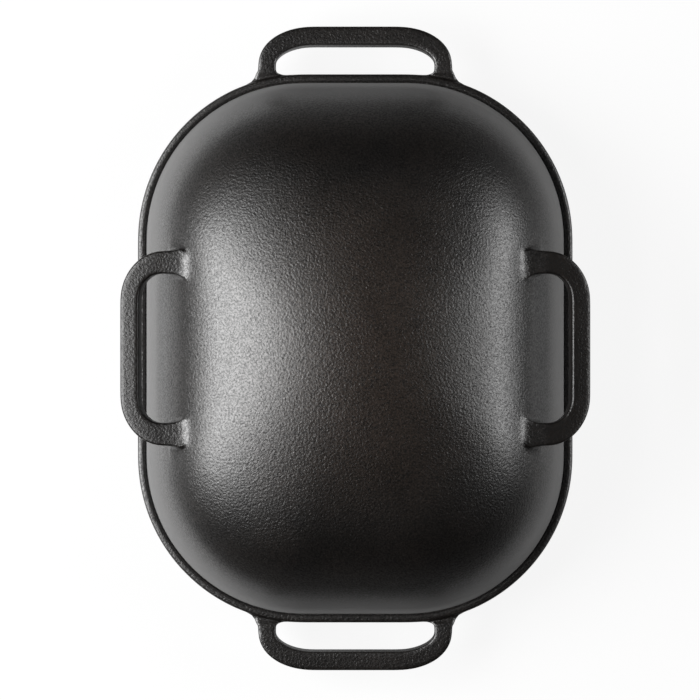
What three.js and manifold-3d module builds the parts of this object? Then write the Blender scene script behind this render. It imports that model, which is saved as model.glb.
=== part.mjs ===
// A covered cast iron bread pan. The base pan is a shallow tray with a loop handle at each end, and the cover is a
// deep dome with a loop handle on each long side. Each is one casting, handles and all. The cover drops inside the
// base's raised lip and rests by its own weight on the seat behind it, so the two part with a straight lift.
// Millimetres, +Z up, +Y along the length, origin at the middle of the base's foot.
import * as THREE from "three";
import { mergeVertices } from "three/addons/utils/BufferGeometryUtils.js";
import Module from "manifold-3d";

const wasm = await Module();
wasm.setup();
const { clamp, degToRad, lerp, smoothstep } = THREE.MathUtils;

// Base pan: its rim seen from above, and the section through its wall
const RIM_LENGTH = 338;
const RIM_WIDTH = 268;
const RIM_CORNER_RADIUS = 102;
const RIM_HEIGHT = 34; // from the table to the top of the lip
const RIM_BAND_HEIGHT = 11; // upright outer face of the rim
const RIM_OVERHANG = 6.6; // how far the rim stands out past the wall under it
const RIM_EDGE_RADIUS = 1.4;
const LIP_WIDTH = 4.6;
const LIP_RISE = 1.2; // from the seat up to the top of the lip
const LIP_FALL = 0.4; // how much lower the lip is at its outer edge
const SEAT_WIDTH = 8.4;
const BASE_WALL = 5.2;
const BASE_WALL_FLARE = degToRad(25); // from upright
const BASE_FLOOR = 5.5;
const BASE_FOOT_RADIUS = 12; // outside, where the wall turns into the foot
const TRAY_FILLET = 9; // inside, where the wall turns into the floor

// Cover: the section through its wall, shoulder and crown
const COVER_HEIGHT = 96.2; // from its bottom edge to the top of the crown
const COVER_WALL = 5.4;
const COVER_DRAFT = degToRad(15);
const COVER_EDGE_RADIUS = 0.8;
const COVER_FOOT_FLARE = 2; // how far the wall's outer face sweeps out to the bottom edge
const COVER_FOOT_HEIGHT = 8; // how high up the wall the sweep starts
const SHOULDER_RADIUS = 77;
const CROWN_RADIUS = 175;
const CROWN_OVAL_START = 0.86; // share of the plan inside which its rings turn from squarish to oval

// How the cover sits in the base
const COVER_SIDE_CLEARANCE = 0.8;
const COVER_SEAT_CLEARANCE = 0.2; // as-cast faces meet only on their high spots

// Loop handles. width and height are the bar's section, and legWidth is the legs' width. reach runs from the wall
// to the bar's outer side, and span from one leg's outer side to the other's. bendReach and bendSpan are the half
// axes of a bend's outer side. The loop leaves the wall level and curves down by droop on its way out to the bar.
// Over filletLength, each leg flares by filletWidth and filletHeight into the wall.
const BASE_HANDLE = {
  width: 11.6,
  legWidth: 10.8,
  height: 10.5,
  edgeRadius: 1.8,
  span: 119.5,
  reach: 29,
  bendReach: 22.8,
  bendSpan: 33.3,
  filletLength: 3.2,
  filletWidth: 3.2,
  filletHeight: 0,
  wallLean: 0, // from upright, of the wall at the roots
  droop: 1.7,
};
const BASE_HANDLE_DROP = 0.8; // top of the handle below the top of the lip
const COVER_HANDLE = {
  width: 11.4,
  legWidth: 13.8,
  height: 12,
  edgeRadius: 1.8,
  span: 118,
  reach: 34.1,
  bendReach: 25,
  bendSpan: 29.6,
  filletLength: 6,
  filletWidth: 5,
  filletHeight: 1.6,
  wallLean: degToRad(38), // the roots stand on the shoulder
  droop: 2.5,
};
const COVER_HANDLE_HEIGHT = 52.7; // middle of the handle's roots above the cover's bottom edge
const HANDLE_ROOT_DEPTH = 8; // how far each leg runs on into its wall, to be joined to it

// Facets: steps along each stretch of a plan's quarter, and divisions of the bends in sections and handles
const PLAN_SIDE_STEPS = 5;
const PLAN_CORNER_STEPS = 10;
const PLAN_END_STEPS = 3;
const SECTION_DIVISIONS = 3;
const BAR_EDGE_STEPS = 2;
const BEND_DIVISIONS = 6;
const FILLET_STEPS = 4;

// Tools

// A closed run of points round a rounded rectangle, counter-clockwise from the middle of its +X side.
// oval, from 0 to 1, draws the run in towards the ellipse with the same half axes.
function planOutline(halfWidth, halfLength, corner, oval = 0) {
  const centre = new THREE.Vector2(halfWidth - corner, halfLength - corner);
  const quarter = [];
  for (let i = 0; i < PLAN_SIDE_STEPS; i++)
    quarter.push(new THREE.Vector2(halfWidth, (centre.y * i) / PLAN_SIDE_STEPS));
  for (let i = 0; i < PLAN_CORNER_STEPS; i++) {
    const angle = (Math.PI / 2) * (i / PLAN_CORNER_STEPS);
    quarter.push(new THREE.Vector2(Math.cos(angle), Math.sin(angle)).multiplyScalar(corner).add(centre));
  }
  for (let i = 0; i <= PLAN_END_STEPS; i++)
    quarter.push(new THREE.Vector2(centre.x * (1 - i / PLAN_END_STEPS), halfLength));
  for (const point of quarter) {
    const angle = Math.atan2(point.y / halfLength, point.x / halfWidth);
    point.lerp(new THREE.Vector2(halfWidth * Math.cos(angle), halfLength * Math.sin(angle)), oval);
  }
  // The second quarter is the first one mirrored and run backwards, and the other half is this half turned round.
  const mirrored = quarter.slice(1, -1).map((p) => new THREE.Vector2(-p.x, p.y));
  const half = [...quarter, ...mirrored.reverse()];
  return [...half, ...half.map((p) => p.clone().negate())];
}

// A closed solid through a run of rings with equal counts of points. Each end is closed by a fan round the ring's
// middle, or round the apex where the last ring closes on one.
function loft(rings, apex) {
  const count = rings[0].length;
  const points = rings.flat();
  const triangles = [];
  for (let first = 0; first < points.length - count; first += count)
    for (let i = 0; i < count; i++) {
      const next = (i + 1) % count;
      const [a, b, c, d] = [first + i, first + next, first + count + next, first + count + i];
      triangles.push(a, b, c, a, c, d);
    }
  const middle = (ring) => ring.reduce((sum, p) => sum.add(p), new THREE.Vector3()).divideScalar(count);
  const last = rings.length - 1;
  const start = points.push(middle(rings[0])) - 1;
  const end = points.push(apex ?? middle(rings[last])) - 1;
  for (let i = 0; i < count; i++) {
    const next = (i + 1) % count;
    triangles.push(start, next, i);
    triangles.push(end, last * count + i, last * count + next);
  }
  return new THREE.BufferGeometry().setFromPoints(points).setIndex(triangles);
}

// The points of a section, without the doubles where one stretch meets the next.
function sectionPoints(path, divisions) {
  const points = path.getPoints(divisions);
  return points.filter((p, i) => i === 0 || p.distanceTo(points[i - 1]) > 1e-6);
}

function solid(geometry) {
  const bare = geometry.clone();
  bare.deleteAttribute("normal");
  bare.deleteAttribute("uv");
  const merged = mergeVertices(bare);
  const mesh = new wasm.Mesh({
    numProp: 3,
    vertProperties: new Float32Array(merged.attributes.position.array),
    triVerts: new Uint32Array(merged.index.array),
  });
  return new wasm.Manifold(mesh);
}

function geometryOf(made) {
  const mesh = made.getMesh();
  const geometry = new THREE.BufferGeometry();
  geometry.setAttribute("position", new THREE.BufferAttribute(mesh.vertProperties, 3));
  geometry.setIndex(new THREE.BufferAttribute(mesh.triVerts, 1));
  geometry.computeVertexNormals();
  return geometry;
}

// Loop handles

// A handle's section at a width, grown on each side by the given amounts.
function barSection({ height, edgeRadius }, width, growWidth, growHeight) {
  const flatWidth = width / 2 + growWidth - edgeRadius;
  const flatHeight = height / 2 + growHeight - edgeRadius;
  const section = [];
  for (let quadrant = 0; quadrant < 4; quadrant++) {
    const middle = (Math.PI / 2) * (quadrant + 0.5);
    const side = new THREE.Vector2(Math.sign(Math.cos(middle)), Math.sign(Math.sin(middle)));
    const corner = side.multiply(new THREE.Vector2(flatWidth, flatHeight));
    for (let i = 0; i <= BAR_EDGE_STEPS; i++) {
      const angle = (Math.PI / 2) * (quadrant + i / BAR_EDGE_STEPS);
      section.push(new THREE.Vector2(Math.cos(angle), Math.sin(angle)).multiplyScalar(edgeRadius).add(corner));
    }
  }
  return section;
}

// A loop that leaves a wall at Y = 0 and runs out along +Y. Its top faces square to its downward curve, and its legs
// lean with the wall and flare into it as a cast fillet does.
function loopHandle(handle) {
  const legX = (handle.span - handle.legWidth) / 2;
  const bendX = handle.bendSpan - handle.legWidth / 2;
  const bendY = handle.bendReach - handle.width / 2;
  const bendStart = handle.reach - handle.bendReach;
  const straight = Math.min(bendStart, handle.filletLength);
  const path = new THREE.Path().moveTo(-legX, -HANDLE_ROOT_DEPTH);
  for (let i = 0; i <= FILLET_STEPS; i++) path.lineTo(-legX, (straight * i) / FILLET_STEPS);
  path.absellipse(bendX - legX, bendStart, bendX, bendY, Math.PI, Math.PI / 2, true);
  path.absellipse(legX - bendX, bendStart, bendX, bendY, Math.PI / 2, 0, true);
  for (let i = FILLET_STEPS; i >= 0; i--) path.lineTo(legX, (straight * i) / FILLET_STEPS);
  path.lineTo(legX, -HANDLE_ROOT_DEPTH);

  const barY = bendStart + bendY;
  const share = (y) => Math.max(y, 0) / barY;
  const fall = (y) => -handle.droop * share(y) ** 2;
  const stations = sectionPoints(path, BEND_DIVISIONS).map((p) => new THREE.Vector3(p.x, p.y, fall(p.y)));
  const rings = stations.map((at, i) => {
    const before = stations[Math.max(i - 1, 0)];
    const after = stations[Math.min(i + 1, stations.length - 1)];
    const along = after.clone().sub(before).normalize();
    const face = new THREE.Vector3(0, (2 * handle.droop * share(at.y)) / barY, 1);
    const across = face.cross(along).normalize();
    const up = along.clone().cross(across);
    const toGo = clamp(1 - at.y / handle.filletLength, 0, 1);
    const flare = 1 - Math.sqrt(1 - toGo * toGo);
    const lean = new THREE.Vector3(0, -Math.tan(handle.wallLean) * toGo, 0);
    const width = lerp(handle.legWidth, handle.width, smoothstep(at.y, bendStart, barY));
    const section = barSection(handle, width, handle.filletWidth * flare, handle.filletHeight * flare);
    return section.map((p) =>
      at.clone().addScaledVector(across, p.x).addScaledVector(up, p.y).addScaledVector(lean, p.y),
    );
  });
  return loft(rings);
}

// A pair of loops on opposite walls that stand wallDistance from the middle, at a height, turned about Z.
function handlePair(handle, wallDistance, z, turn) {
  const placed = (angle) => solid(loopHandle(handle).translate(0, wallDistance, z).rotateZ(angle));
  return placed(turn).add(placed(turn + Math.PI));
}

// Base pan

const seatZ = RIM_HEIGHT - LIP_RISE;
const coverInset = LIP_WIDTH + COVER_SIDE_CLEARANCE; // from the rim's outer face to the cover's outer face
const seatInset = coverInset + SEAT_WIDTH;
const bandZ = RIM_HEIGHT - RIM_BAND_HEIGHT;
const underRimZ = bandZ - RIM_OVERHANG / 2;
const wallInset = (z) => RIM_OVERHANG + (underRimZ - z) * Math.tan(BASE_WALL_FLARE);

// A ring of the base pan is the rim's plan drawn in by the same inset all round. Its sections have minus the inset
// for x.
function baseRing({ x, y }) {
  const plan = planOutline(RIM_WIDTH / 2 + x, RIM_LENGTH / 2 + x, RIM_CORNER_RADIUS + x);
  return plan.map((p) => new THREE.Vector3(p.x, p.y, y));
}

// Starts a section with the fillet between a floor and the flaring wall, which crosses its level at an inset.
function filletFromFloor(section, floorZ, inset, radius) {
  const back = radius * Math.tan((Math.PI / 2 - BASE_WALL_FLARE) / 2);
  section.absarc(-inset - back, floorZ + radius, radius, -Math.PI / 2, -BASE_WALL_FLARE, false);
}

function baseOutside() {
  const section = new THREE.Path();
  filletFromFloor(section, 0, wallInset(0), BASE_FOOT_RADIUS);
  section.lineTo(-RIM_OVERHANG, underRimZ);
  section.quadraticCurveTo(-RIM_OVERHANG * 0.7, bandZ, 0, bandZ);
  const edgeZ = RIM_HEIGHT - LIP_FALL - RIM_EDGE_RADIUS;
  section.absarc(-RIM_EDGE_RADIUS, edgeZ, RIM_EDGE_RADIUS, 0, Math.PI / 2, false);
  section.lineTo(-LIP_WIDTH, RIM_HEIGHT);
  return loft(sectionPoints(section, SECTION_DIVISIONS).map(baseRing));
}

// The hollow of the base pan: the tray, the seat round it and the room inside the lip, run on past the top.
function baseHollow() {
  const wallThrough = BASE_WALL / Math.cos(BASE_WALL_FLARE);
  const ledgeFootZ = underRimZ - (seatInset - RIM_OVERHANG - wallThrough) / Math.tan(BASE_WALL_FLARE);
  const chamfer = RIM_EDGE_RADIUS / 2;
  const section = new THREE.Path();
  filletFromFloor(section, BASE_FLOOR, wallInset(BASE_FLOOR) + wallThrough, TRAY_FILLET);
  section.lineTo(-seatInset, ledgeFootZ);
  section.lineTo(-seatInset, seatZ - chamfer);
  section.lineTo(-seatInset + chamfer, seatZ);
  section.lineTo(-LIP_WIDTH, seatZ);
  section.lineTo(-LIP_WIDTH, RIM_HEIGHT - chamfer);
  section.lineTo(-LIP_WIDTH + chamfer * 2, RIM_HEIGHT + chamfer);
  return loft(sectionPoints(section, SECTION_DIVISIONS).map(baseRing));
}

function basePan() {
  const handleZ = RIM_HEIGHT - BASE_HANDLE_DROP - BASE_HANDLE.height / 2;
  const handles = handlePair(BASE_HANDLE, RIM_LENGTH / 2, handleZ, 0);
  return solid(baseOutside()).add(handles).subtract(solid(baseHollow()));
}

// Cover

const coverZ = seatZ + COVER_SEAT_CLEARANCE;

// The cover's section, drawn in by a thickness: a straight wall with draft, a shoulder arc and a crown arc, each
// touching the next. Heights are above the cover's bottom edge.
function coverSection(thickness) {
  const inset = coverInset + COVER_FOOT_FLARE + thickness / Math.cos(COVER_DRAFT);
  const halfWidth = RIM_WIDTH / 2 - inset;
  const halfLength = RIM_LENGTH / 2 - inset;
  const corner = RIM_CORNER_RADIUS - inset;
  const height = COVER_HEIGHT - thickness;
  const shoulder = SHOULDER_RADIUS - thickness;
  const crown = CROWN_RADIUS - thickness;
  // The shoulder's middle lies one shoulder radius inside the wall and (crown - shoulder) from the crown's middle.
  const [sin, cos] = [Math.sin(COVER_DRAFT), Math.cos(COVER_DRAFT)];
  const crownZ = height - crown;
  const x0 = halfWidth - shoulder * cos;
  const z0 = -shoulder * sin - crownZ;
  const half = z0 * cos - x0 * sin;
  const up = -half + Math.sqrt(half * half - x0 * x0 - z0 * z0 + (crown - shoulder) ** 2);
  const shoulderX = x0 - up * sin;
  const shoulderZ = up * cos - shoulder * sin;
  return { halfWidth, halfLength, corner, height, shoulder, shoulderX, shoulderZ, crown, crownZ };
}

// The solid inside the cover's outer face, or, drawn in by the wall's thickness, inside its inner face. The wall
// sweeps out evenly by a flare to the bottom edge. From the wall's foot up, the rings shrink to the middle of the
// crown and turn oval on the way.
function coverDome(thickness, flare, edgeRadius) {
  const section = coverSection(thickness);
  const { halfWidth, halfLength, corner, height, shoulder, shoulderX, shoulderZ, crown, crownZ } = section;
  const join = Math.atan2(shoulderZ - crownZ, shoulderX);
  const wallX = (z) => halfWidth - z * Math.tan(COVER_DRAFT);
  const path = new THREE.Path().moveTo(halfWidth + flare - edgeRadius, 0);
  path.lineTo(halfWidth + flare, edgeRadius);
  const [sweepTop, sweepMiddle] = [COVER_FOOT_HEIGHT, COVER_FOOT_HEIGHT * 0.25];
  path.quadraticCurveTo(wallX(sweepMiddle), sweepMiddle, wallX(sweepTop), sweepTop);
  path.absarc(shoulderX, shoulderZ, shoulder, COVER_DRAFT, join, false);
  path.absarc(0, crownZ, crown, join, Math.PI / 2, false);
  const apex = new THREE.Vector3(0, 0, coverZ + height);
  const rings = sectionPoints(path, SECTION_DIVISIONS).slice(0, -1).map(({ x, y }) => {
    const share = Math.min(x / halfWidth, 1);
    const swept = Math.max(x - halfWidth, 0);
    const oval = smoothstep(1 - share / CROWN_OVAL_START, 0, 1);
    const plan = planOutline(x, halfLength * share + swept, corner * share + swept, oval);
    return plan.map((p) => new THREE.Vector3(p.x, p.y, coverZ + y));
  });
  return loft(rings, apex);
}

function cover() {
  // The handles leave the straight wall or the shoulder above it, whichever stands at their height.
  const { halfWidth, shoulder, shoulderX, shoulderZ } = coverSection(0);
  const aboveShoulder = COVER_HANDLE_HEIGHT - shoulderZ;
  const onShoulder = aboveShoulder > shoulder * Math.sin(COVER_DRAFT);
  const wallDistance = onShoulder
    ? shoulderX + Math.sqrt(shoulder ** 2 - aboveShoulder ** 2)
    : halfWidth - COVER_HANDLE_HEIGHT * Math.tan(COVER_DRAFT);
  const handles = handlePair(COVER_HANDLE, wallDistance, coverZ + COVER_HANDLE_HEIGHT, Math.PI / 2);
  const outside = solid(coverDome(0, COVER_FOOT_FLARE, COVER_EDGE_RADIUS));
  return outside.add(handles).subtract(solid(coverDome(COVER_WALL, 0, 0)));
}

// The finished castings

function casting(name, made) {
  const material = new THREE.MeshStandardMaterial({ color: 0x24221f, metalness: 0.35, roughness: 0.5 });
  const mesh = new THREE.Mesh(geometryOf(made), material);
  mesh.name = name;
  return mesh;
}

const pan = new THREE.Group();
pan.name = "covered_bread_pan";
pan.add(casting("base_pan", basePan()));
pan.add(casting("cover", cover()));

export default pan;
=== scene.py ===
from math import atan2, copysign, cos, pi, radians, sin, sqrt, tan

import bmesh
import bpy
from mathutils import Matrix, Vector


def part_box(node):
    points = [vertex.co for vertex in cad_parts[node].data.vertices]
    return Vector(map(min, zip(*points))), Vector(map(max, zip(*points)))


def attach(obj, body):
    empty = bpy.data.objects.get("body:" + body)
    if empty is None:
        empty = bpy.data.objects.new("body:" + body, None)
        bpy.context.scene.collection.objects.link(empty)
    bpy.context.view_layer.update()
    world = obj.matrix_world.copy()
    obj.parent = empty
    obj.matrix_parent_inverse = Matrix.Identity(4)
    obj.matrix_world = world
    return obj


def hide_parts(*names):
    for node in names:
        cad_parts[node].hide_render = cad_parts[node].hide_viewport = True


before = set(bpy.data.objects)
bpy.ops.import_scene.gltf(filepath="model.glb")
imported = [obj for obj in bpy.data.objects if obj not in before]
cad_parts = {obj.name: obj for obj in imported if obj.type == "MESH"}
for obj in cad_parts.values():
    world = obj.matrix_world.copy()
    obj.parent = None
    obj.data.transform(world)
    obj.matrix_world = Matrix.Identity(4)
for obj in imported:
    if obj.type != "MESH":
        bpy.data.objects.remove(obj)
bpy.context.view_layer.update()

# Base pan.
# A shallow tray of seasoned cast iron, poured in one with a loop handle at each end. Its rim is rebated:
# an outer lip keeps the cover from sliding off, and the seat inside the lip carries it.
base_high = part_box("base_pan")[1]
rim_half_width = base_high[0]
rim_half_length = 0.169
rim_corner = 0.102
rim_top = base_high[2]
rim_band_z = 0.023
rim_overhang = 0.0066
rim_edge = 0.0014
lip_width = 0.0046
lip_fall = 0.0004
seat_z = 0.0328
cover_clearance = 0.0008
seat_width = 0.0084
cover_inset = lip_width + cover_clearance
seat_inset = cover_inset + seat_width
base_wall = 0.0052
base_flare = radians(25)
base_floor = 0.0055
foot_radius = 0.012
tray_fillet = 0.009
fillet_steps = 5
end_steps = 34
side_steps = 46


def plan_point(u, v, half_width, half_length, corner, oval=0.0):
    """A point on the border of a square, carried to a rounded rectangle in steps that are even along each
    side. oval, from 0 to 1, draws it in towards the ellipse with the same half axes."""
    on_side = abs(u) >= abs(v)
    flat = (half_length if on_side else half_width) - corner
    run = (v if on_side else u) * (flat + corner * pi / 4)
    turn = max(abs(run) - flat, 0) / corner
    far = copysign(min(abs(run), flat) + corner * sin(turn), run)
    out = (half_width if on_side else half_length) - corner + corner * cos(turn)
    x, y = (copysign(out, u), far) if on_side else (far, copysign(out, v))
    angle = atan2(y / half_length, x / half_width)
    ellipse = Vector((half_width * cos(angle), half_length * sin(angle)))
    return Vector((x, y)).lerp(ellipse, oval)


def draw_out(bm, border):
    """Extrudes a closed run of border edges. Gives the new run, and the corner each new corner came from."""
    made = bmesh.ops.extrude_edge_only(bm, edges=border)["geom"]
    drawn = [e for e in made if isinstance(e, bmesh.types.BMEdge) and e.is_boundary]
    old = {vert for edge in border for vert in edge.verts}
    source = {}
    for vert in {vert for edge in drawn for vert in edge.verts}:
        source[vert] = next(e.other_vert(vert) for e in vert.link_edges if e.other_vert(vert) in old)
    return drawn, source


def lay_skin(bm, middle, rings):
    """Lays a grid over the middle of a casting's face and draws its border out through the rings. A ring is a
    plan with the height that it lies at, and middle(share) gives the one at a share of the grid."""
    grid = bmesh.ops.create_grid(bm, x_segments=end_steps, y_segments=side_steps, size=1)["verts"]
    station = {}
    for vert in grid:
        u, v, _ = vert.co
        share = max(abs(u), abs(v), 1e-6)
        station[vert] = (u / share, v / share)
        *plan, z = middle(share)
        vert.co = (*plan_point(*station[vert], *plan), z)
    border = [e for e in bm.edges if e.is_boundary and e.verts[0] in station]
    for *plan, z in rings:
        border, source = draw_out(bm, border)
        station = {vert: station[old] for vert, old in source.items()}
        for vert, at in station.items():
            vert.co = (*plan_point(*at, *plan), z)
    return border


def arc(centre, radius, start, end, steps):
    """Points along an arc in a section, with both ends."""
    turns = [start + (end - start) * i / steps for i in range(steps + 1)]
    return [(centre[0] + radius * cos(turn), centre[1] + radius * sin(turn)) for turn in turns]


def ease(value):
    """A smooth step from 0 to 1."""
    held = min(max(value, 0), 1)
    return held * held * (3 - 2 * held)


def bar_section(width, height, edge):
    """Twelve points round a handle's bar: each corner, with a point on either side to keep the faces flat."""
    x, y = width / 2, height / 2
    quarter = [Vector((x, y - edge)), Vector((x, y)), Vector((x - edge, y))]
    upper = quarter + [Vector((-at.x, at.y)) for at in reversed(quarter)]
    return upper + [-at for at in upper]


def open_wall(bm, at, spread):
    """Takes the nine faces of a wall round a point out, and spreads the opening's border round that point."""
    middle = min(bm.faces, key=lambda face: (face.calc_center_median() - at).length)
    middle.normal_update()
    normal = middle.normal.copy()
    block = {face for vert in middle.verts for face in vert.link_faces}
    border = [e for face in block for e in face.edges if any(other not in block for other in e.link_faces)]
    verts = {vert for edge in border for vert in edge.verts}
    bmesh.ops.delete(bm, geom=list(block), context="FACES")
    centre = sum((vert.co for vert in verts), Vector()) / len(verts)
    slide = (at - centre) - normal * normal.dot(at - centre)
    for vert in verts:
        vert.co = centre + slide + (vert.co - centre) * spread
    return border


def grow_handle(bm, root, out, handle):
    """Grows a loop handle out of a wall, from a root point between its legs. Each half is drawn from an
    opening in the wall along its leg and round its bend, and the two are joined in the middle of the bar."""
    up_z = Vector((0, 0, 1))
    along = out.cross(up_z)
    leg = (handle["span"] - handle["leg_width"]) / 2
    bend_along = handle["bend_span"] - handle["leg_width"] / 2
    bend_out = handle["bend_reach"] - handle["width"] / 2
    bend_start = handle["reach"] - handle["bend_reach"]
    bar_out = bend_start + bend_out
    fillet = handle["fillet_length"]
    fillet_shares = (0.2, 0.45, 0.75)
    bend_steps, bar_steps = 9, 4
    path = [(leg, fillet * share) for share in fillet_shares]
    for i in range(bend_steps + 1):
        turn = radians(90) * i / bend_steps
        path.append((leg - bend_along * (1 - cos(turn)), bend_start + bend_out * sin(turn)))
    path += [((leg - bend_along) * (1 - i / bar_steps), bar_out) for i in range(1, bar_steps + 1)]
    ends = []
    for side in (-1, 1):
        border = open_wall(bm, root + along * leg * side, handle["opening"])
        ring = {vert for edge in border for vert in edge.verts}
        middle = sum((vert.co for vert in ring), Vector()) / len(ring)
        turn_of = {}
        for vert in ring:
            off = vert.co - middle
            turn_of[vert] = atan2(off.dot(up_z), off.dot(along) * side) % (2 * pi)
        ring = sorted(ring, key=turn_of.get)
        for i, (x, reach) in enumerate(path):
            border, source = draw_out(bm, border)
            ring = sorted(source, key=lambda vert: ring.index(source[vert]))
            before, after = path[max(i - 1, 0)], path[min(i + 1, len(path) - 1)]
            slope = 2 * handle["droop"] * reach / bar_out**2
            face = up_z + out * slope
            tangent = along * side * (after[0] - before[0]) + (out - up_z * slope) * (after[1] - before[1])
            across = face.cross(tangent).normalized() * -side
            to_go = min(max(1 - reach / fillet, 0), 1)
            flare = 1 - sqrt(1 - to_go * to_go)
            bar_share = ease((reach - bend_start) / bend_out)
            width = handle["leg_width"] + (handle["width"] - handle["leg_width"]) * bar_share
            width += 2 * handle["fillet_width"] * flare
            height = handle["height"] + 2 * handle["fillet_height"] * flare
            lean = -out * tan(handle["wall_lean"]) * to_go
            centre = root + along * x * side + out * reach - up_z * handle["droop"] * (reach / bar_out) ** 2
            for vert, at in zip(ring, bar_section(width, height, handle["edge"])):
                vert.co = centre + across * at.x + (face.normalized() + lean) * at.y
        ends += ring
    bmesh.ops.remove_doubles(bm, verts=ends, dist=1e-5)


def finish_casting(name, bm):
    """Closes a casting's mesh and rounds it with a subdivision surface."""
    bmesh.ops.recalc_face_normals(bm, faces=bm.faces)
    mesh = bpy.data.meshes.new(name)
    bm.to_mesh(mesh)
    bm.free()
    mesh.shade_smooth()
    casting = bpy.data.objects.new(name, mesh)
    bpy.context.scene.collection.objects.link(casting)
    rounding = casting.modifiers.new("rounding", "SUBSURF")
    rounding.levels = rounding.render_levels = 1
    return casting


def base_ring(inset, z, share=1):
    """The rim's plan drawn in by an inset, or a share of that plan."""
    plan = rim_half_width - inset, rim_half_length - inset, rim_corner - inset
    return *[size * share for size in plan], 0.0, z


def wall_inset(z):
    """How far the outer wall stands inside the rim's outer face at a height."""
    return rim_overhang + (under_rim_z - z) * tan(base_flare)


def floor_fillet(floor_z, inset, radius):
    """The fillet from a floor up into the flaring wall, as insets and heights."""
    back = radius * tan((pi / 2 - base_flare) / 2)
    middle = -inset - back, floor_z + radius
    return [(-x, z) for x, z in arc(middle, radius, -pi / 2, -base_flare, fillet_steps)]


under_rim_z = rim_band_z - rim_overhang / 2
wall_through = base_wall / cos(base_flare)
ledge_foot_z = under_rim_z - (seat_inset - rim_overhang - wall_through) / tan(base_flare)
foot = floor_fillet(0, wall_inset(0), foot_radius)
tray = floor_fillet(base_floor, wall_inset(base_floor) + wall_through, tray_fillet)
wall_middle_z = (foot[-1][1] + under_rim_z) / 2
tray_middle_z = (tray[-1][1] + ledge_foot_z) / 2
half_edge = rim_edge / 2
lip_edge_z = rim_top - lip_fall
under_rim = [
    (rim_overhang, under_rim_z),
    (rim_overhang * 0.72, rim_band_z - rim_overhang * 0.14),
    (rim_overhang * 0.35, rim_band_z),
    (half_edge, rim_band_z),
]
# The rim's outer band, with rows of faces at the heights where a handle's leg opens it.
band_heights = [0.0237, 0.0248, 0.0270, 0.0292, 0.0308]
lip = [
    (half_edge * 0.5, lip_edge_z - half_edge * 0.5),
    (rim_edge, lip_edge_z),
    (lip_width / 2, (lip_edge_z + rim_top) / 2),
    (lip_width - half_edge, rim_top),
    (lip_width, rim_top - half_edge),
    (lip_width, seat_z + half_edge),
    (lip_width, seat_z),
    (lip_width + half_edge, seat_z),
]
seat_edge = [
    (seat_inset - rim_edge, seat_z),
    (seat_inset - half_edge * 0.5, seat_z - half_edge * 0.5),
    (seat_inset, seat_z - rim_edge),
    (seat_inset, ledge_foot_z),
    (wall_inset(tray_middle_z) + wall_through, tray_middle_z),
]
base_section = foot[1:] + [(wall_inset(wall_middle_z), wall_middle_z)] + under_rim
base_section += [(0, z) for z in band_heights] + lip + seat_edge + tray[:0:-1]
base_rings = [base_ring(*at) for at in base_section]

base_mesh = bmesh.new()
outer_border = lay_skin(base_mesh, lambda share: base_ring(*foot[0], share), base_rings)
inner_border = lay_skin(base_mesh, lambda share: base_ring(*tray[0], share), [])
bmesh.ops.bridge_loops(base_mesh, edges=outer_border + inner_border)
base_handle = {
    "width": 0.0116,
    "leg_width": 0.0108,
    "height": 0.0105,
    "edge": 0.0023,
    "span": 0.1195,
    "reach": 0.029,
    "bend_reach": 0.0228,
    "bend_span": 0.0333,
    "droop": 0.0017,
    "fillet_length": 0.0032,
    "fillet_width": 0.0032,
    "fillet_height": 0.0,
    "wall_lean": 0.0,
    "opening": 0.95,
}
base_handle_top = 0.0332
base_handle_z = base_handle_top - base_handle["height"] / 2
for end in (1, -1):
    root = Vector((0, end * rim_half_length, base_handle_z))
    grow_handle(base_mesh, root, Vector((0, end, 0)), base_handle)
base_casting = finish_casting("base_casting", base_mesh)


class Shade:
    """A socket in a material's nodes, so that shader maths reads as Python."""

    def __init__(self, tree, socket=None):
        self.tree = tree
        self.socket = socket

    def make(self, kind, settings=None, inputs=None, output=0):
        """Adds a node: its settings first, then the values or links of its sockets."""
        node = self.tree.nodes.new(kind)
        for name, value in (settings or {}).items():
            setattr(node, name, value)
        for name, value in (inputs or {}).items():
            if isinstance(value, Shade):
                self.tree.links.new(value.socket, node.inputs[name])
            else:
                node.inputs[name].default_value = value
        return Shade(self.tree, node.outputs[output])

    def maths(self, operation, first, second):
        return self.make("ShaderNodeMath", {"operation": operation}, {0: first, 1: second})

    def __add__(self, other):
        return self.maths("ADD", self, other)

    def __sub__(self, other):
        return self.maths("SUBTRACT", self, other)

    def __rsub__(self, other):
        return self.maths("SUBTRACT", other, self)

    def __mul__(self, other):
        return self.maths("MULTIPLY", self, other)

    __radd__ = __add__
    __rmul__ = __mul__


def new_material(name):
    """A material, its Principled shader and a start for its other nodes."""
    material = bpy.data.materials.new(name)
    material.use_nodes = True
    return material, material.node_tree.nodes["Principled BSDF"], Shade(material.node_tree)


def axis(vector, letter):
    """One of a vector's three numbers."""
    return vector.make("ShaderNodeSeparateXYZ", None, {"Vector": vector}, output=letter)


def ramp(value, start, end, low=0.0, high=1.0, kind="LINEAR"):
    """Goes from low to high as a value goes from start to end, and stays level past them."""
    stops = {"Value": value, "From Min": start, "From Max": end, "To Min": low, "To Max": high}
    return value.make("ShaderNodeMapRange", {"interpolation_type": kind}, stops)


def noise(place, scale, detail, roughness):
    """Cloudy noise, about scale lumps to the metre."""
    lumps = {"Vector": place, "Scale": scale, "Detail": detail, "Roughness": roughness}
    return place.make("ShaderNodeTexNoise", None, lumps)


def mix(tree, share, first, second):
    """A colour between two others."""
    colours = {"Factor": share, 6: first, 7: second}
    return tree.make("ShaderNodeMix", {"data_type": "RGBA"}, colours, output=2)


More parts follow.
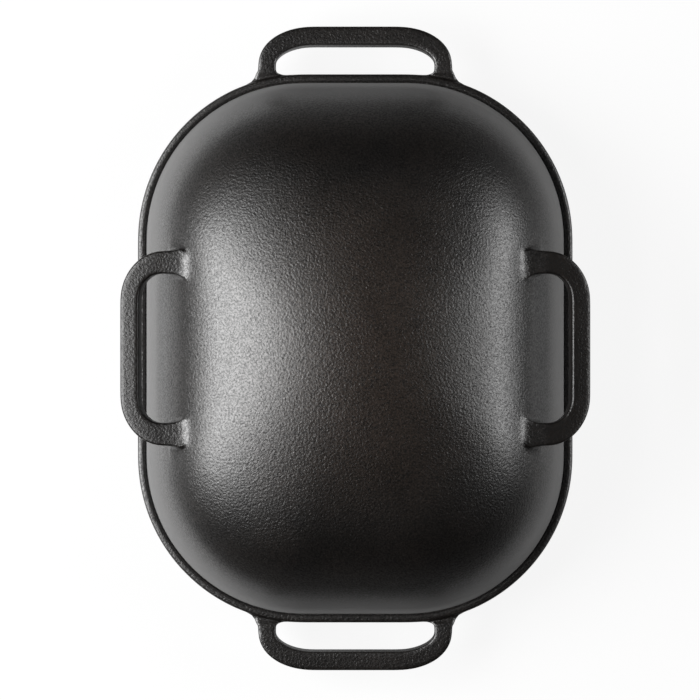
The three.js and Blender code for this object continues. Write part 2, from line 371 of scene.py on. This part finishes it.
def seasoned_iron(name, wear_and_reflection_mask=None, painted_floor_reflection=0.0):
    """Oil baked onto sand-cast iron: a black satin film over pebbled skin, browner in patches and on top, and
    glossier on some pebbles than on others. wear(place) gives how grainy the skin is, from 0 on a wall that
    drew clean from the mould, where burnish greys the film as a painted reflection of the white floor, and
    how far out on a worn handle it lies."""
    black, brown, white = (0.0010, 0.0008, 0.0007, 1), (0.0330, 0.0180, 0.0095, 1), (1, 1, 1, 1)
    brown_share, brown_on_top, brown_in_patches = 0.05, 0.62, 0.2
    top_start, top_end = 0.108, 0.129
    clean_rough, grainy_rough, patch_rough = 0.60, 0.36, 0.06
    clean_gloss, grainy_gloss = 0.1, 0.05
    clean_grain, handle_loss = 0.1, 0.35
    pebble_depth = 0.00044
    material, shader, tree = new_material(name)
    place = tree.make("ShaderNodeTexCoord", output="Object")
    grainy, on_handle = wear_and_reflection_mask(place) if wear_and_reflection_mask else (1, 0)
    pebbles = noise(place, scale=690, detail=2, roughness=0.55)
    flecks = noise(place, scale=900, detail=1, roughness=0.5)
    patches = ramp(noise(place, scale=24, detail=4, roughness=0.65), start=0.3, end=0.7)
    on_top = ramp(axis(place, "Z"), top_start, top_end)
    brown_most = brown_share + brown_on_top * on_top + brown_in_patches * patches
    film = mix(tree, ramp(flecks, start=0.25, end=0.8) * brown_most, black, brown)
    # Towards a clean wall's foot the film is greyed towards white: a painted reflection of the white floor.
    colour = mix(tree, (1 - grainy) * painted_floor_reflection, film, white)
    roughness = clean_rough + (grainy_rough - clean_rough) * grainy + patch_rough * patches
    spark = ramp(flecks, start=0.35, end=0.65)
    gloss = (clean_gloss + grainy * (grainy_gloss + spark)) * (1 - on_handle)
    skin = pebbles * (clean_grain + (1 - clean_grain) * grainy) * (1 - handle_loss * on_handle)
    bump = tree.make("ShaderNodeBump", None, {"Strength": 1.0, "Distance": pebble_depth, "Height": skin})
    finish = {"Base Color": colour, "Roughness": roughness, "Coat Weight": gloss, "Normal": bump}
    for socket, value in finish.items():
        material.node_tree.links.new(value.socket, shader.inputs[socket])
    shader.inputs["IOR"].default_value = 1.6
    shader.inputs["Coat Roughness"].default_value = 0.37
    return material


base_casting.data.materials.append(seasoned_iron("base_iron"))
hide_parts("base_pan")
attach(base_casting, "base")


# Cover.
# A deep dome of the same iron, poured in one with a loop handle on each long side, loose on the base's seat.
# Its leaning wall turns over a broad shoulder to a gentle crown, and its plan from rounded rectangle to oval.
cover_low, cover_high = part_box("cover")
cover_z = cover_low[2]
cover_height = cover_high[2] - cover_low[2]
cover_wall = 0.0054
cover_draft = radians(15)
cover_edge = 0.0008
foot_flare = 0.002
foot_height = 0.008
sweep_height = foot_height * 0.25
shoulder_radius = 0.077
crown_radius = 0.175
crown_oval_start = 0.86
shoulder_steps = 12
wall_steps = 4


def cover_section(thickness):
    """The dome's section, drawn in by a thickness: the plan at the wall's foot, the crown's radius and its
    middle, and the points from the crown over the shoulder and down the wall, as half widths and heights
    above the edge."""
    inset = cover_inset + foot_flare + thickness / cos(cover_draft)
    plan = rim_half_width - inset, rim_half_length - inset, rim_corner - inset
    shoulder = shoulder_radius - thickness
    crown = crown_radius - thickness
    crown_z = cover_height - crown_radius
    # The shoulder's middle lies its radius inside the wall and (crown - shoulder) from the crown's middle.
    x0 = plan[0] - shoulder * cos(cover_draft)
    z0 = -shoulder * sin(cover_draft) - crown_z
    half = z0 * cos(cover_draft) - x0 * sin(cover_draft)
    up = -half + sqrt(half * half - x0 * x0 - z0 * z0 + (crown - shoulder) ** 2)
    middle = x0 - up * sin(cover_draft), up * cos(cover_draft) - shoulder * sin(cover_draft)
    over = arc(middle, shoulder, atan2(middle[1] - crown_z, middle[0]), cover_draft, shoulder_steps)
    top = over[-1][1]
    heights = [top + (foot_height - top) * i / wall_steps for i in range(1, wall_steps + 1)]
    return plan, crown, crown_z, over + [(plan[0] - z * tan(cover_draft), z) for z in heights]


def dome_ring(plan, x, z):
    """A ring of the dome. It shrinks from the wall's foot to the crown's middle and turns oval, and it keeps
    an even outset where the foot sweeps out."""
    share = min(x / plan[0], 1)
    swept = max(x - plan[0], 0)
    oval = ease(1 - share / crown_oval_start)
    return x, plan[1] * share + swept, plan[2] * share + swept, oval, cover_z + z


def crown_middle(section):
    """The rings of the crown, from its middle out to the shoulder."""
    plan, crown, crown_z, points = section
    reach = points[0][0]
    return lambda share: dome_ring(plan, reach * share, crown_z + sqrt(crown**2 - (reach * share) ** 2))


outside = cover_section(0)
inside = cover_section(cover_wall)
outer_x = outside[0][0]
inner_x = inside[0][0]
foot_x = outer_x + foot_flare
sweep_middle = Vector((outer_x - sweep_height * tan(cover_draft), sweep_height))
sweep = [Vector(outside[3][-1]), sweep_middle, Vector((foot_x, cover_edge))]
swept = [sweep[0].lerp(sweep[1], t).lerp(sweep[1].lerp(sweep[2], t), t) for t in (0.25, 0.5, 0.75, 1)]
edge = [(foot_x - cover_edge * 0.2, cover_edge * 0.2), (foot_x - cover_edge, 0), (inner_x + cover_edge, 0)]
inner_foot = [(inner_x - z * tan(cover_draft), z) for z in (0, cover_edge, foot_height / 2)]
cover_rings = [dome_ring(outside[0], *at) for at in outside[3][1:] + swept + edge]
cover_rings += [dome_ring(inside[0], *at) for at in inner_foot + inside[3][:0:-1]]

cover_mesh = bmesh.new()
outer_border = lay_skin(cover_mesh, crown_middle(outside), cover_rings)
inner_border = lay_skin(cover_mesh, crown_middle(inside), [])
bmesh.ops.bridge_loops(cover_mesh, edges=outer_border + inner_border)
cover_handle = {
    "width": 0.0114,
    "leg_width": 0.0138,
    "height": 0.012,
    "edge": 0.0023,
    "span": 0.118,
    "reach": 0.0341,
    "bend_reach": 0.025,
    "bend_span": 0.0296,
    "droop": 0.0025,
    "fillet_length": 0.006,
    "fillet_width": 0.005,
    "fillet_height": 0.0016,
    "wall_lean": radians(38),
    "opening": 1.25,
}
cover_handle_height = 0.0527
above = [at for at in outside[3] if at[1] > cover_handle_height]
below = outside[3][len(above)]
root_share = (cover_handle_height - below[1]) / (above[-1][1] - below[1])
root_x = below[0] + (above[-1][0] - below[0]) * root_share
for side in (1, -1):
    root = Vector((side * root_x, 0, cover_z + cover_handle_height))
    grow_handle(cover_mesh, root, Vector((side, 0, 0)), cover_handle)
cover_casting = finish_casting("cover_casting", cover_mesh)


def cover_wear_and_reflection_mask(place):
    """The cover's wall drew clean from the mould at its foot and is grainy higher up. The clean foot also
    carries a painted reflection of the white floor. What stands proud of the wall's line is a handle."""
    clean_below, grainy_above = 0.034, 0.078
    proud_start, proud_end = 0.003, 0.007
    height = axis(place, "Z")
    grainy = ramp(height, clean_below, grainy_above, kind="SMOOTHSTEP")
    aside = place.make("ShaderNodeMath", {"operation": "ABSOLUTE"}, {0: axis(place, "X")})
    proud = aside + height * tan(cover_draft) - (outer_x + cover_z * tan(cover_draft))
    return grainy, ramp(proud, proud_start, proud_end)


# Greys the cover's wall towards its foot: a painted reflection of the white floor.
cover_casting.data.materials.append(seasoned_iron("cover_iron", cover_wear_and_reflection_mask, painted_floor_reflection=0.155))
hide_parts("cover")
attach(cover_casting, "cover")


# Floor.
# A sweep of matt white paper under the pan. The camera sees it white, with a soft shadow, and not from below.
# In reflections it glows with painted light: bright on the left and some way off on the right, with painted
# shade under the pan's right half and at its near end, and it fades out along the pan's length.
floor_gap = 0.0003
floor_half = 4
paper_colour = (0.9, 0.9, 0.9, 1)
camera_white, mirror_white = 0.88, 0.9
all_white_start, all_white_end = 2.0, 6.0
left_x, middle_x, middle_level = -0.17, 0.02, 0.22
right_start_x, right_x, right_level = 0.15, 0.32, 0.45
near_end_y, near_start_y = -0.21, -0.16
fade_start, fade_end, fade_level = 1.15, 2.3, 0.1
side_stretch = 1.9


def ray_kinds(tree):
    """Which rays come from the camera, and which by a reflection or through something clear."""
    seen = tree.make("ShaderNodeLightPath", output="Is Camera Ray")
    shiny = tree.make("ShaderNodeLightPath", output="Is Glossy Ray")
    clear = tree.make("ShaderNodeLightPath", output="Is Transmission Ray")
    return seen, shiny + clear


floor_mesh = bmesh.new()
bmesh.ops.create_grid(floor_mesh, x_segments=1, y_segments=1, size=floor_half)
bmesh.ops.translate(floor_mesh, verts=floor_mesh.verts, vec=(0, 0, -floor_gap))
mesh = bpy.data.meshes.new("floor")
floor_mesh.to_mesh(mesh)
floor_mesh.free()
floor = bpy.data.objects.new("floor", mesh)
bpy.context.scene.collection.objects.link(floor)

paper, paper_shader, tree = new_material("white_paper")
paper_shader.inputs["Base Color"].default_value = paper_colour
paper_shader.inputs["Roughness"].default_value = 0.9
paper_shader.inputs["Specular IOR Level"].default_value = 0.0
seen, mirrored = ray_kinds(tree)
place = tree.make("ShaderNodeTexCoord", output="Object")
across = axis(place, "X")
# Painted light and shade on the paper, seen only in reflections: bright on the left, dim from the pan's
# middle rightwards, brighter again further right, dark at the near end and fading away from the pan.
left_share = ramp(across, left_x, middle_x, 1.0, middle_level)
right_share = ramp(across, right_start_x, right_x, 0.0, right_level)
near_share = ramp(axis(place, "Y"), near_end_y, near_start_y)
# The distance from the pan's middle, in half widths and half lengths of the rim added up.
folded = tree.make("ShaderNodeVectorMath", {"operation": "ABSOLUTE"}, {0: place})
rim_shares = {0: folded, 1: (1 / rim_half_width / side_stretch, 1 / rim_half_length, 0)}
distance = tree.make("ShaderNodeVectorMath", {"operation": "DOT_PRODUCT"}, rim_shares, output="Value")
fade = ramp(distance, fade_start, fade_end, 1.0, fade_level)
reflected = (left_share + right_share) * near_share * fade
glow = tree.make("ShaderNodeEmission", None, {"Color": seen + (1 - seen) * reflected, "Strength": 1.0})
camera_share = ramp(distance, all_white_start, all_white_end, camera_white, 1.0)
white_share = seen * camera_share + mirrored * mirror_white
lit_paper = Shade(paper.node_tree, paper_shader.outputs[0])
upper_face = tree.make("ShaderNodeMixShader", None, {0: white_share, 1: lit_paper, 2: glow})
from_below = tree.make("ShaderNodeNewGeometry", output="Backfacing")
gone = tree.make("ShaderNodeBsdfTransparent")
sheet = tree.make("ShaderNodeMixShader", None, {0: from_below, 1: upper_face, 2: gone})
paper.node_tree.links.new(sheet.socket, paper.node_tree.nodes["Material Output"].inputs["Surface"])
floor.data.materials.append(paper)


# Studio light and camera.
# The photograph looks straight down from far off. A large soft light stands on the left and a weaker one
# lower on the right, a little towards the far end. The room is dark overhead and past the pan's two ends.
light_aim_z = 0.1
dark_room, under_glow = 0.008, 0.5
under_start = -0.3
camera_height = 3.3
view_width = 0.4311
view_middle = (-0.0032, -0.001)


def softbox(name, zenith, distance, along, size, radiance):
    """A rectangular light at an angle from straight up, towards +X, turned to the pan and slid along +Y."""
    width, length = size
    lamp = bpy.data.lights.new(name, "AREA")
    lamp.shape = "RECTANGLE"
    lamp.size = width
    lamp.size_y = length
    lamp.energy = radiance * pi * width * length
    light = bpy.data.objects.new(name, lamp)
    light.location = (distance * sin(zenith), along, light_aim_z + distance * cos(zenith))
    light.rotation_euler = (0, zenith, 0)
    bpy.context.scene.collection.objects.link(light)


softbox("left_softbox", zenith=radians(-54), distance=1.6, along=0, size=(1.15, 1.3), radiance=10)
softbox("right_softbox", zenith=radians(68), distance=1.6, along=0.24, size=(0.6, 1.1), radiance=7)

# The room is white to the camera. Below the table's level it is white in reflections too, and lit.
world = bpy.data.worlds.new("studio")
bpy.context.scene.world = world
world.use_nodes = True
sky = Shade(world.node_tree)
seen, mirrored = ray_kinds(sky)
ray = sky.make("ShaderNodeTexCoord", output="Generated")
under = ramp(axis(ray, "Z"), under_start, 0.0, 1.0, 0.0)
white = seen + mirrored * under
room = white + (1 - white) * (dark_room + under * under_glow)
world.node_tree.links.new(room.socket, world.node_tree.nodes["Background"].inputs["Color"])

lens = bpy.data.cameras.new("camera")
lens.sensor_width = 36
lens.lens = lens.sensor_width * camera_height / view_width
camera = bpy.data.objects.new("camera", lens)
camera.location = (*view_middle, rim_top + camera_height)
bpy.context.scene.collection.objects.link(camera)
bpy.context.scene.camera = camera
bpy.context.scene.view_settings.view_transform = "Standard"
